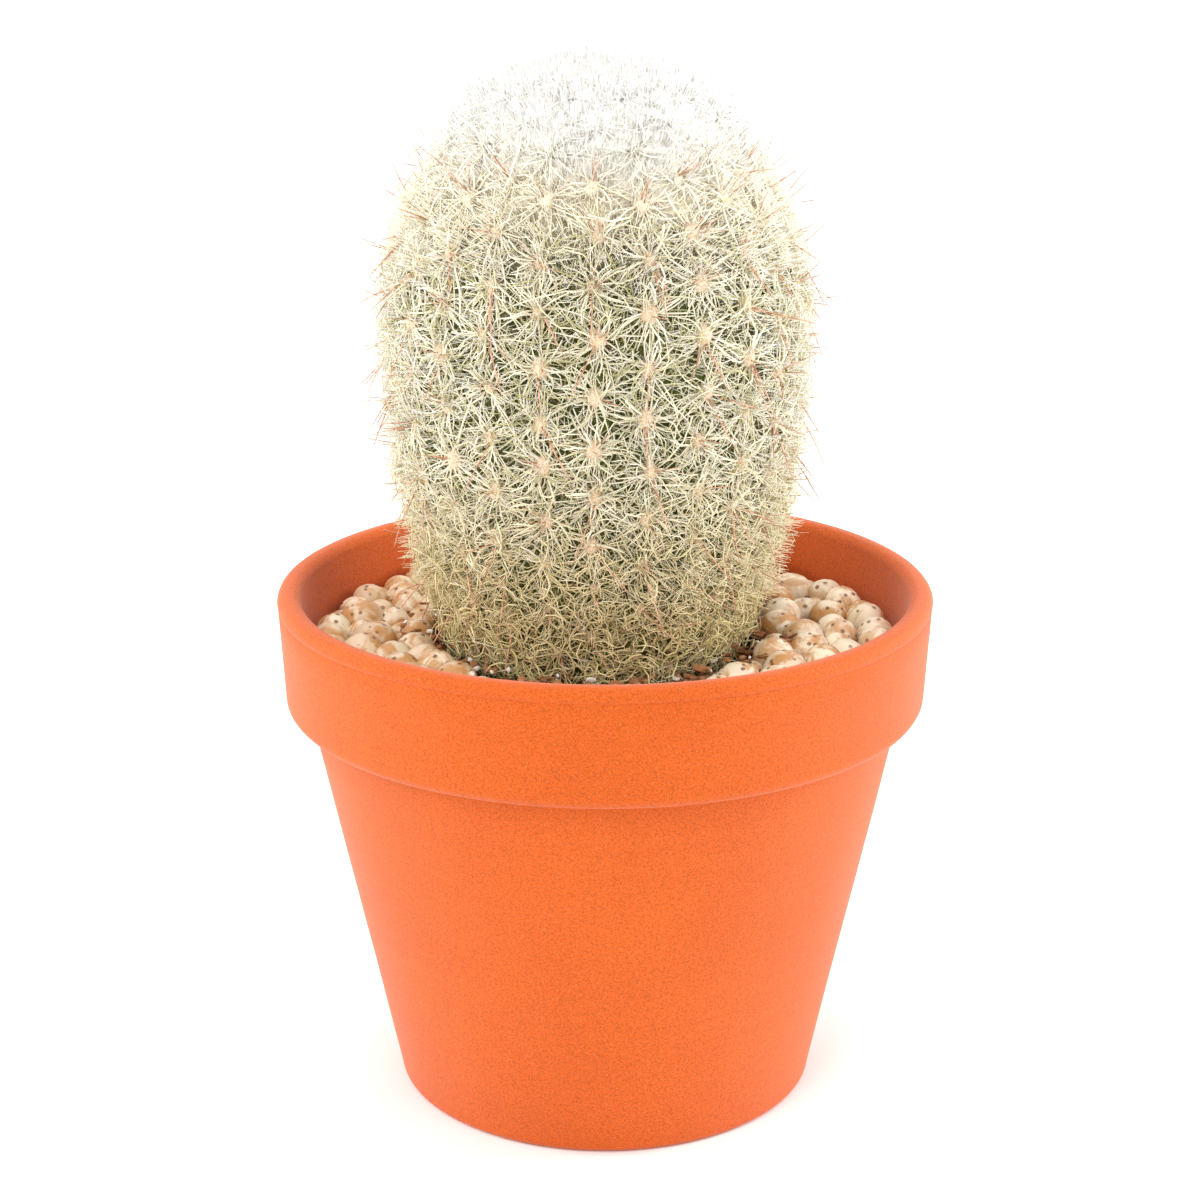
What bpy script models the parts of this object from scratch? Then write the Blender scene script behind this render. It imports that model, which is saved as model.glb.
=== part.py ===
"""Potted Peruvian old lady cactus.

A turned clay pot holds soil, a top dressing of round clay beads and one ribbed stem with needles.
Metres, +Z up. The origin is the middle of the pot's base, on the surface that it stands on.
"""

import math
import random

import bmesh
import bpy
import numpy as np
from mathutils import Matrix, Vector, noise
from mathutils.bvhtree import BVHTree

# Driving dimensions of the pot
POT_HEIGHT = 0.0880
RIM_RADIUS = 0.0550
COLLAR_HEIGHT = 0.0200
COLLAR_TAPER = 0.0010
BODY_TOP_RADIUS = 0.0501
BASE_RADIUS = 0.0360
WALL = 0.0040
FLOOR = 0.0065
DRAIN_RADIUS = 0.0060
LIP_ROUND = 0.0017
COLLAR_ROUND = 0.0020
BASE_ROUND = 0.0015
SHOULDER = POT_HEIGHT - COLLAR_HEIGHT
INNER_STEP_TOP = SHOULDER + 0.0020
INNER_STEP_FOOT = SHOULDER - 0.0040
INNER_DRAFT = 0.08

# Soil and beads
GAP = 0.0003
SOIL_TOP = 0.0755
SOIL_LUMP = 0.0010
SOCKET_GAP = 0.00035
BED_TOP = 0.0768
BED_INNER = 0.0300
BARE_RADIUS = 0.0268
BEAD_RADIUS = 0.0031
BEAD_RISE = 0.0016
BEAD_LIFT = 0.4
BEAD_PITCH = 0.0067
BEAD_LENGTH, BEAD_WIDTH = 1.12, 1.03
BEAD_RINGS = 4
RING_STEP = 0.00565
INNER_SHARE = 0.6
INNER_SIZE = 0.84

# Driving dimensions of the stem, to the crests of its ribs
STEM_X = -0.0015
STEM_RADIUS = 0.0332
STEM_TOP = 0.1715
WIDEST_HEIGHT = 0.1335
TAPER = 0.0108
DOME_POWER = 2.07
RIBS = 24
RIB_DEPTH = 0.0026
FOOT_DEPTH = 0.0140

# Areoles and needles
AREOLE_STEP = 0.0082
FIRST_AREOLE = 0.0795
CROWN_RADIUS = 0.0150
AREOLE_SIZE = 0.00060
CUSHION = 0.0006
CREST_LIFT = 0.0002
RADIAL_LENGTH = 0.0062
CENTRAL_LENGTH = 0.0090
NEEDLE_CLEAR = 0.0009
SISTER_CLEAR = 0.0005
TUFTS = 38
TUFT_LENGTH = 0.0075
TUFT_ROOT = 0.0026

SEGMENTS = 2 * RIBS
GOLDEN_ANGLE = math.pi * (3 - math.sqrt(5))


def clear_scene():
    for thing in list(bpy.data.objects):
        bpy.data.objects.remove(thing, do_unlink=True)


def material(name, colour, roughness):
    made = bpy.data.materials.new(name)
    made.use_nodes = True
    shader = made.node_tree.nodes["Principled BSDF"]
    shader.inputs["Base Color"].default_value = (*colour, 1)
    shader.inputs["Roughness"].default_value = roughness
    shader.inputs["Metallic"].default_value = 0
    made.diffuse_color = (*colour, 1)
    return made


def add_object(name, bm, finish=None):
    """Make a mesh object of a bmesh, with its faces pointing out and its round sides smooth."""
    bmesh.ops.recalc_face_normals(bm, faces=bm.faces)
    mesh = bpy.data.meshes.new(name)
    bm.to_mesh(mesh)
    bm.free()
    mesh.shade_smooth()
    mesh.set_sharp_from_angle(angle=math.radians(40))
    made = bpy.data.objects.new(name, mesh)
    bpy.context.scene.collection.objects.link(made)
    if finish:
        mesh.materials.append(finish)
    return made


def arc(centre, radius, start, end, steps):
    """Points (r, z) on a quarter or so of a circle, with the angles in degrees."""
    points = []
    for i in range(steps + 1):
        angle = math.radians(start + (end - start) * i / steps)
        points.append((centre[0] + radius * math.cos(angle), centre[1] + radius * math.sin(angle)))
    return points


def turned(outline, closed, x=0.0):
    """Spin an outline of (r, z) points round an upright axis at x, as a bmesh."""
    bm = bmesh.new()
    verts = [bm.verts.new((x + r, 0, z)) for r, z in outline]
    pairs = list(zip(verts, verts[1:]))
    if closed:
        pairs.append((verts[-1], verts[0]))
    edges = [bm.edges.new(pair) for pair in pairs]
    bmesh.ops.spin(
        bm, geom=verts + edges, cent=(x, 0, 0), axis=(0, 0, 1),
        angle=math.tau, steps=SEGMENTS, use_merge=True,
    )
    bmesh.ops.remove_doubles(bm, verts=bm.verts, dist=1e-6)
    return bm


def inner_wall(z):
    """Radius of the pot's inner wall at height z, in the collar and below it."""
    if z >= INNER_STEP_TOP:
        return RIM_RADIUS - WALL - (POT_HEIGHT - z) * INNER_DRAFT
    slope = (BODY_TOP_RADIUS - BASE_RADIUS) / SHOULDER
    return BASE_RADIUS + z * slope - WALL


def build_pot():
    collar_foot = RIM_RADIUS - COLLAR_TAPER
    outline = [(DRAIN_RADIUS, 0), *arc((BASE_RADIUS - BASE_ROUND, BASE_ROUND), BASE_ROUND, -90, 0, 2)]
    outline.append((BODY_TOP_RADIUS, SHOULDER - GAP))
    outline += arc((collar_foot - COLLAR_ROUND, SHOULDER + COLLAR_ROUND), COLLAR_ROUND, -80, 0, 2)
    lip_middle = POT_HEIGHT - LIP_ROUND
    outline += arc((RIM_RADIUS - LIP_ROUND, lip_middle), LIP_ROUND, 0, 90, 2)
    outline += arc((RIM_RADIUS - WALL + LIP_ROUND, lip_middle), LIP_ROUND, 90, 180, 2)
    outline += [(inner_wall(z), z) for z in (INNER_STEP_TOP, INNER_STEP_FOOT, FLOOR)]
    outline.append((DRAIN_RADIUS, FLOOR))
    add_object("pot", turned(outline, closed=True), material("terracotta", (0.83, 0.22, 0.06), 0.8))


def foot_outline(growth):
    """The rounded foot of the stem, from the soil's top down to its point, grown by a margin."""
    radius = crest_radius(SOIL_TOP) + growth
    depth = FOOT_DEPTH + growth
    turns = [math.radians(90 * i / 2) for i in range(3)]
    return [(radius * math.cos(turn), SOIL_TOP - depth * math.sin(turn)) for turn in turns]


def build_soil():
    """The soil's plug, with a lumpy ring round the stem and a plain socket that the stem stands in."""
    bottom = FLOOR + GAP
    outline = [(0, bottom), (inner_wall(bottom) - GAP, bottom)]
    outline += [(inner_wall(z) - GAP, z) for z in (INNER_STEP_FOOT, INNER_STEP_TOP, SOIL_TOP)]
    lump_top = SOIL_TOP + SOIL_LUMP
    outline += [(BARE_RADIUS + 0.001, SOIL_TOP), (BARE_RADIUS - 0.0008, lump_top)]
    outline.append((BARE_RADIUS - 0.0022, lump_top))
    outline += foot_outline(SOCKET_GAP)
    bm = turned(outline, closed=False)
    socket = crest_radius(SOIL_TOP) + 2 * SOCKET_GAP
    for vert in bm.verts:
        reach = math.hypot(vert.co.x, vert.co.y)
        in_socket = reach < socket and vert.co.z > SOIL_TOP - 1.1 * FOOT_DEPTH
        if in_socket or vert.co.z > SOIL_TOP - 1e-5:
            vert.co.x += stem_shift(reach)
        if vert.co.z > lump_top - 1e-5:
            vert.co.z += SOIL_LUMP * 0.8 * noise.noise(vert.co * 400)
    add_object("soil", bm, material("soil", (0.09, 0.045, 0.025), 1.0))


def stem_shift(reach):
    """The stem stands a little off the pot's axis. Rings near it follow it, and the wall's doesn't."""
    wall = inner_wall(SOIL_TOP)
    return STEM_X * min(1, max(0, (wall - reach) / (wall - BARE_RADIUS)))


def bead_places():
    """Centre, radius and turn of each bead: rings of beads, heaped towards the sides and the back."""
    draw = random.Random(15)
    outer = inner_wall(BED_TOP + 0.001) - GAP - BEAD_RADIUS - 0.0004
    places = []
    for ring in range(BEAD_RINGS):
        ring_radius = outer - ring * RING_STEP
        count = int(math.tau * ring_radius / BEAD_PITCH)
        size = BEAD_RADIUS * (INNER_SIZE if ring == BEAD_RINGS - 1 else 1)
        for i in range(count):
            angle = math.tau * (i + 0.5 * ring) / count + draw.uniform(-0.012, 0.012)
            radius = size * draw.uniform(0.86, 1.06)
            out = ring_radius + draw.uniform(-0.0003, 0.0003)
            heap = bed_rise(angle) + BEAD_LIFT * radius
            x, y = out * math.cos(angle) + stem_shift(out), out * math.sin(angle)
            turn = draw.uniform(0, math.tau)
            if ring < BEAD_RINGS - 1 or draw.random() < INNER_SHARE:
                places.append((Vector((x, y, BED_TOP + heap)), radius, turn))
    return places


def bed_rise(angle):
    """How much higher the beads lie at this angle than at the front, where the camera side is -Y."""
    return BEAD_RISE * (0.5 + 0.5 * math.sin(angle)) ** 0.7


def join_all(target, tools):
    """Join many small closed shapes to the target in one union, and drop them."""
    group = bpy.data.collections.new("to_join")
    bpy.context.scene.collection.children.link(group)
    for tool in tools:
        bpy.context.scene.collection.objects.unlink(tool)
        group.objects.link(tool)
    union = target.modifiers.new("join", "BOOLEAN")
    union.operation = "UNION"
    union.operand_type = "COLLECTION"
    union.collection = group
    union.solver = "MANIFOLD"
    graph = bpy.context.evaluated_depsgraph_get()
    whole = bpy.data.meshes.new_from_object(target.evaluated_get(graph))
    target.modifiers.clear()
    target.data = whole
    for tool in tools:
        bpy.data.objects.remove(tool, do_unlink=True)
    bpy.data.collections.remove(group)
    whole.shade_smooth()
    whole.set_sharp_from_angle(angle=math.radians(40))


def build_beads():
    """One body: a low bed, for the beads that lie underneath, and the upper beads sunk in it."""
    low = SOIL_TOP + GAP
    outer = inner_wall(SOIL_TOP) - GAP - 0.0002
    outline = [(BED_INNER, low), (outer, low), (outer, BED_TOP), (BED_INNER + 0.0008, BED_TOP)]
    bm = turned(outline, closed=True)
    for vert in bm.verts:
        if vert.co.z > BED_TOP - 1e-5:
            vert.co.z += bed_rise(math.atan2(vert.co.y, vert.co.x))
        vert.co.x += stem_shift(math.hypot(vert.co.x, vert.co.y))
    bed = add_object("beads", bm, material("clay_bead", (0.78, 0.66, 0.50), 0.7))
    balls = []
    for i, (place, radius, turn) in enumerate(bead_places()):
        ball = bmesh.new()
        stretch = Matrix.Diagonal((BEAD_LENGTH, BEAD_WIDTH, BEAD_WIDTH, 1))
        spot = Matrix.Translation(place) @ Matrix.Rotation(turn, 4, "Z") @ stretch
        bmesh.ops.create_icosphere(ball, subdivisions=1, radius=radius, matrix=spot)
        for vert in ball.verts:
            vert.co.z = max(vert.co.z, low + GAP * (0.3 + 0.1 * (i % 5)))
        balls.append(add_object(f"bead_{i}", ball))
    join_all(bed, balls)


def crest_radius(z):
    """Radius of the rib crests at height z."""
    if z < WIDEST_HEIGHT:
        fall = (WIDEST_HEIGHT - z) / (WIDEST_HEIGHT - SOIL_TOP)
        return STEM_RADIUS - TAPER * fall**2
    rise = min(1, (z - WIDEST_HEIGHT) / (STEM_TOP - WIDEST_HEIGHT))
    return STEM_RADIUS * (1 - rise**DOME_POWER) ** (1 / DOME_POWER)


def dome_height(radius):
    """Height of the dome at this distance from its axis: crest_radius turned round."""
    share = (1 - (radius / STEM_RADIUS) ** DOME_POWER) ** (1 / DOME_POWER)
    return WIDEST_HEIGHT + (STEM_TOP - WIDEST_HEIGHT) * share


def row_heights():
    """Heights of the rows of the stem's mesh, half an areole step apart along the curve, up to the crown."""
    step, heights, z, walked = AREOLE_STEP / 2, [FIRST_AREOLE], FIRST_AREOLE, 0
    climb = 2e-5
    while crest_radius(z) > CROWN_RADIUS:
        walked += math.hypot(climb, crest_radius(z + climb) - crest_radius(z))
        z += climb
        if walked >= step:
            heights.append(z)
            walked = 0
    return heights


def outward_slope(z):
    """Unit (r, z) direction that points out of the stem's curve at height z."""
    nudge = 1e-4
    run = crest_radius(z + nudge) - crest_radius(z - nudge)
    size = math.hypot(run, 2 * nudge)
    return 2 * nudge / size, -run / size


def stem_grid(heights):
    """The ribbed stem as a spun outline whose odd columns are sunk to make the valleys."""
    crown = [(STEM_RADIUS * share, STEM_TOP - drop) for share, drop in ((0.24, 0.0012), (0, 0))]
    outline = list(reversed(foot_outline(0)))
    outline += [(crest_radius(z), z) for z in heights]
    outline += crown
    bm = turned(outline, closed=False, x=STEM_X)
    step = math.tau / SEGMENTS
    for vert in bm.verts:
        x, y, z = vert.co.x - STEM_X, vert.co.y, vert.co.z
        column = round(math.atan2(y, x) / step)
        radius = math.hypot(x, y)
        if z < SOIL_TOP - 1e-4 or radius < CROWN_RADIUS * 0.5:
            continue
        out_r, out_z = outward_slope(z)
        shift = CREST_LIFT
        if column % 2:
            shift = -RIB_DEPTH * min(1, 1.15 * radius / STEM_RADIUS)
            shift *= 0.4 if z < SOIL_TOP + 1e-4 else 1
        vert.co.x += x / radius * out_r * shift
        vert.co.y += y / radius * out_r * shift
        vert.co.z += out_z * shift
    return bm


def areole_verts(bm, heights):
    """Every other crest vertex, staggered from rib to rib."""
    chosen = []
    step = math.tau / SEGMENTS
    rows = {round((z + outward_slope(z)[1] * CREST_LIFT) * 1e5): i for i, z in enumerate(heights)}
    for vert in bm.verts:
        column = round(math.atan2(vert.co.y, vert.co.x - STEM_X) / step)
        row = rows.get(round(vert.co.z * 1e5))
        if column % 2 == 0 and row is not None and (column // 2 + row) % 2 == 0:
            chosen.append(vert)
    return chosen


def droop(z):
    """Angle above level that the long spines point to: up at the crown, down near the soil."""
    share = (z - SOIL_TOP) / (STEM_TOP - SOIL_TOP)
    return math.radians(-35 + 100 * share**1.3)


def radial_way(side, middle, outward, draw):
    """A direction from one side of an areole, low over the stem."""
    along = side.calc_center_median() - middle
    along -= along.dot(outward) * outward
    lift = math.radians(draw.uniform(26, 42))
    turn = Matrix.Rotation(math.radians(draw.uniform(-12, 12)), 3, outward)
    return math.cos(lift) * (turn @ along.normalized()) + math.sin(lift) * outward


def long_spine_way(root, outward, draw):
    """A direction between the way out of the stem and the way that spines point at this height."""
    level = Vector((outward.x, outward.y, 0)).normalized()
    side = level.cross(Vector((0, 0, 1)))
    pitch = droop(root.z)
    way = math.cos(pitch) * level + math.sin(pitch) * Vector((0, 0, 1))
    along = way + draw.uniform(-0.75, 0.75) * side
    along -= along.dot(outward) * outward
    lift = math.radians(draw.uniform(50, 62))
    return math.sin(lift) * outward + math.cos(lift) * along.normalized()


def off_beads(tip):
    """Whether a needle's tip keeps off the soil and, low down, inside the ring of beads."""
    if tip.z < SOIL_TOP + 0.0032:
        return False
    return tip.z > BED_TOP + 0.0065 or math.hypot(tip.x - STEM_X, tip.y) < BARE_RADIUS - 0.0004


class Needles:
    """Raises faces of the stem to points that keep clear of the needles of other areoles."""

    def __init__(self, bm, most):
        self.bm = bm
        self.lines = np.zeros((most, 2, 3))
        self.owners = np.full(most, -1)
        self.tips = []
        self.count = 0

    def stands_clear(self, root, tip, owner):
        """Whether a line keeps off every needle, though near its root its own areole's come close."""
        along = np.linspace(0, 1, 12)[:, None, None]
        points = np.array(root) * (1 - along) + np.array(tip) * along
        starts, spans = self.lines[: self.count, 0], np.diff(self.lines[: self.count], axis=1)[:, 0]
        share = ((points - starts) * spans).sum(axis=2) / (spans**2).sum(axis=1)
        feet = starts + np.clip(share, 0, 1)[..., None] * spans
        gaps = np.linalg.norm(points - feet, axis=2)
        sisters = self.owners[: self.count] == owner
        return (gaps[:, ~sisters] > NEEDLE_CLEAR).all() and (gaps[3:, sisters] > SISTER_CLEAR).all()

    def raise_face(self, face, owner, find_way, length):
        """Try a few directions, then shorter needles, until one stands clear."""
        root = face.calc_center_median()
        for _ in range(24):
            tip = root + length * find_way()
            if off_beads(tip) and self.stands_clear(root, tip, owner):
                break
            length *= 0.93
        made = bmesh.ops.poke(self.bm, faces=[face])
        made["verts"][0].co = tip
        self.tips.append((made["verts"][0], root))
        self.lines[self.count] = root, tip
        self.owners[self.count] = owner
        self.count += 1

    def shorten_crossed(self):
        """Pull back the needles whose sides still pass through another face."""
        bmesh.ops.triangulate(self.bm, faces=self.bm.faces)
        for _ in range(8):
            self.bm.faces.ensure_lookup_table()
            faces = self.bm.faces
            tree = BVHTree.FromBMesh(self.bm)
            pairs = [pair for pair in tree.overlap(tree) if pair[0] < pair[1]]
            pairs = [(a, b) for a, b in pairs if not set(faces[a].verts) & set(faces[b].verts)]
            crossed = {faces[i] for pair in pairs for i in pair}
            if not crossed:
                break
            for tip, root in self.tips:
                if crossed.intersection(tip.link_faces):
                    tip.co = root.lerp(tip.co, 0.8)


def grow_needles(bm, areoles):
    """At each areole a small cushion, four needles from its sides and a long one from its middle."""
    draw = random.Random(8)
    areoles.sort(key=lambda vert: (round(vert.co.z, 5), math.atan2(vert.co.y, vert.co.x)))
    caps = bmesh.ops.bevel(
        bm, geom=areoles, offset=AREOLE_SIZE, offset_type="OFFSET", affect="VERTICES",
        segments=1, profile=0.5, material=-1,
    )["faces"]
    caps = [face for face in caps if len(face.verts) == 4]
    bmesh.ops.recalc_face_normals(bm, faces=bm.faces)
    bmesh.ops.inset_individual(
        bm, faces=caps, thickness=AREOLE_SIZE * 0.38, depth=CUSHION, use_even_offset=True
    )
    cushions = []
    for cap in caps:
        sides = [face for edge in cap.edges for face in edge.link_faces if face is not cap]
        cushions.append((cap, sides, cap.calc_center_median(), cap.normal.copy()))
    needles = Needles(bm, 5 * len(caps))
    for owner, (cap, sides, middle, outward) in enumerate(cushions):
        for side in sides:
            length = RADIAL_LENGTH * draw.uniform(0.86, 1.08)
            needles.raise_face(side, owner, lambda: radial_way(side, middle, outward, draw), length)
    for owner, (cap, sides, middle, outward) in enumerate(cushions):
        length = CENTRAL_LENGTH * draw.uniform(0.75, 1.1)
        needles.raise_face(cap, owner, lambda: long_spine_way(middle, outward, draw), length)
    needles.shorten_crossed()


def crown_tufts():
    """Slim upright tufts in a spiral over the crown, rooted in the top of the stem."""
    draw = random.Random(3)
    tufts = []
    for i in range(TUFTS):
        out = CROWN_RADIUS * 1.02 * math.sqrt((i + 0.5) / TUFTS)
        angle = i * GOLDEN_ANGLE
        root_z = dome_height(out) - TUFT_ROOT
        root = Vector((STEM_X + out * math.cos(angle), out * math.sin(angle), root_z))
        lean = Vector((math.cos(angle), math.sin(angle), 0)) * 0.9 * out / CROWN_RADIUS
        lean += Vector((draw.uniform(-0.12, 0.12), draw.uniform(-0.12, 0.12), 1))
        length = TUFT_LENGTH * draw.uniform(0.9, 1.08)
        turn = lean.to_track_quat("Z", "Y").to_matrix().to_4x4()
        spot = Matrix.Translation(root) @ turn @ Matrix.Translation((0, 0, length / 2))
        tuft = bmesh.new()
        bmesh.ops.create_cone(
            tuft, cap_ends=True, segments=4, radius1=0.0006, radius2=0, depth=length, matrix=spot
        )
        bmesh.ops.remove_doubles(tuft, verts=tuft.verts, dist=1e-6)
        tufts.append(add_object(f"tuft_{i}", tuft))
    return tufts


def build_cactus():
    heights = row_heights()
    bm = stem_grid(heights)
    grow_needles(bm, areole_verts(bm, heights))
    plant = add_object("cactus", bm, material("woolly_stem", (0.62, 0.62, 0.45), 0.9))
    join_all(plant, crown_tufts())


def main():
    clear_scene()
    build_pot()
    build_soil()
    build_beads()
    build_cactus()


main()
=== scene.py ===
"""Looks of a potted woolly cactus: clay pot, soil, clay beads, ribbed stem, spines and wool.

Metres, +Z up. The origin is the middle of the pot's base. Laid out as a Blender add-on.
"""

import math
import random

import bmesh
import bpy
import numpy as np
from bpy.props import FloatProperty, FloatVectorProperty, IntProperty, PointerProperty
from mathutils import Matrix, Vector, noise


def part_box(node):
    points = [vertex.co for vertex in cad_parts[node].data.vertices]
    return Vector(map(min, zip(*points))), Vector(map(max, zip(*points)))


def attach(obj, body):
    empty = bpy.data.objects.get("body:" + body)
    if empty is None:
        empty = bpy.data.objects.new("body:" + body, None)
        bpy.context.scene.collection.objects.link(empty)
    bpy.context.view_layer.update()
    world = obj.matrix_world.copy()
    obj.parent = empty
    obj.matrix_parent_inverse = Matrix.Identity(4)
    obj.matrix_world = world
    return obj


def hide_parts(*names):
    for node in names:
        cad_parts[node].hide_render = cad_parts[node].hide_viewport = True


bl_info = {
    "name": "Potted Woolly Cactus",
    "version": (1, 0, 0),
    "blender": (4, 5, 0),
    "location": "3D View > Sidebar > Cactus",
    "description": "Builds a young woolly columnar cactus in a collared clay pot",
    "category": "Add Mesh",
}

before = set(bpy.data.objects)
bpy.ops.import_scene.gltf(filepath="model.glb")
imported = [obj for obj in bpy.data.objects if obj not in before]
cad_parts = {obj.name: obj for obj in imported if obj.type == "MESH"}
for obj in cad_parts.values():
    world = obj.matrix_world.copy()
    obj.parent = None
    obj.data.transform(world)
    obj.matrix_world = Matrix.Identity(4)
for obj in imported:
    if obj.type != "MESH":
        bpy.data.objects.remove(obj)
NOISE_SEED = 1  # 0 would take the seed from the clock
noise.seed_set(NOISE_SEED)
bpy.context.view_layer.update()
POT_LOW, POT_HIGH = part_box("pot")
SOIL_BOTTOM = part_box("soil")[0].z

GOLDEN_ANGLE = math.pi * (3 - math.sqrt(5))
GOLDEN_SHARE = 0.3819
TOUCH_GAP = 0.0003
SAME_POINT = 1e-6
SAME_HEIGHT = 1e-5


def metres(name, description, default):
    return FloatProperty(name=name, description=description, default=default, unit="LENGTH")


def paint(name, description, default):
    return FloatVectorProperty(name=name, description=description, default=default, subtype="COLOR")


def whole(name, description, default):
    return IntProperty(name=name, description=description, default=default)


class PotSettings(bpy.types.PropertyGroup):
    """Sizes and finish of the turned clay pot."""

    rim_radius: metres("Rim radius", "Outer radius of the collar at the lip", (POT_HIGH.x - POT_LOW.x) / 2)
    height: metres("Height", "Height of the pot", POT_HIGH.z)
    collar_height: metres("Collar height", "Height of the raised collar", 0.0200)
    body_top_radius: metres("Body radius", "Radius of the body just under the collar", 0.0501)
    base_radius: metres("Base radius", "Outer radius of the base", 0.0360)
    wall: metres("Wall", "Thickness of the clay wall", 0.0040)
    steps: whole("Steps", "Steps of the spin round the pot's axis", 176)
    unevenness: metres("Unevenness", "How far the hand-finished wall strays from true round", 0.00012)
    clay: paint("Clay", "Colour of the fired clay", (0.57, 0.095, 0.009))
    pale_clay: paint("Pale clay", "Colour of the paler bloom on the clay", (0.66, 0.122, 0.016))


class BedSettings(bpy.types.PropertyGroup):
    """Sizes and finish of the soil and of the clay beads on it."""

    soil_top: metres("Soil top", "Height of the soil under the beads", 0.0755)
    bed_top: metres("Bed top", "Height at which the beads meet the pot's wall", 0.0768)
    bead_radius: metres("Bead radius", "Mean radius of a clay bead", 0.0031)
    bare_radius: metres("Bare radius", "Radius of the ring of soil left bare round the stem", 0.0276)
    beads: whole("Beads", "Number of clay beads", 158)
    bark_bits: whole("Bark bits", "Scraps of bark on the soil", 620)
    grit_bits: whole("Grit", "White chips of grit on the soil", 150)
    cream: paint("Cream", "Colour of clean beads", (0.93, 0.80, 0.61))
    # This tan is also the painted shade of the beads on the left.
    stain_and_shade: paint("Stain", "Colour of the tan stains on the beads", (0.55, 0.27, 0.09))
    soil: paint("Soil", "Colour of the moist soil", (0.12, 0.052, 0.022))


class PlantSettings(bpy.types.PropertyGroup):
    """Sizes and finish of the stem, its spines and its wool."""

    stem_x: metres("Stem offset", "How far the stem stands off the pot's axis", -0.0015)
    stem_radius: metres("Stem radius", "Radius at the rib crests where the stem is widest", 0.0332)
    stem_top: metres("Stem top", "Height of the crown without its wool", 0.1715)
    widest_height: metres("Widest height", "Height at which the stem is widest", 0.1335)
    taper: metres("Taper", "How much narrower the stem is at the soil", 0.0108)
    ribs: whole("Ribs", "Number of ribs", 24)
    rib_depth: metres("Rib depth", "Depth of the valleys between ribs", 0.0026)
    areole_step: metres("Areole step", "Distance between areoles along a rib", 0.0082)
    spine_length: metres("Spine length", "Mean length of the pale radial spines", 0.0062)
    central_length: metres("Central length", "Mean length of the red-brown central spines", 0.0078)
    skin: paint("Skin", "Colour of the green skin", (0.17, 0.20, 0.038))
    wool: paint("Wool", "Colour of clean wool and spines", (0.97, 0.90, 0.68))
    old_wool: paint("Old wool", "Colour of the old wool near the soil", (0.88, 0.745, 0.375))
    felt: paint("Felt", "Colour of the felt of the areoles", (0.70, 0.53, 0.355))
    central: paint("Central", "Colour of the central spines", (0.44, 0.205, 0.105))


class StageSettings(bpy.types.PropertyGroup):
    """Floor, lights and camera."""

    floor_size: metres("Floor size", "Width of the floor", 12.0)
    camera_distance: metres("Camera distance", "Distance from the camera to its aim", 0.44315)
    camera_elevation: FloatProperty(
        name="Camera elevation", description="Angle that the camera looks down at",
        default=math.radians(17.47), subtype="ANGLE",
    )
    aim_height: metres("Aim height", "Height that the camera looks at", 0.08476)
    lens: FloatProperty(
        name="Lens", description="Focal length in millimetres on a 36 mm sensor", default=78.73
    )
    sky: FloatProperty(
        name="Sky", description="Strength of the even light from all round", default=1.05
    )


def chosen(group):
    """The settings of the pot, the bed or the plant."""
    return getattr(bpy.context.scene, "cactus_" + group)


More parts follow.
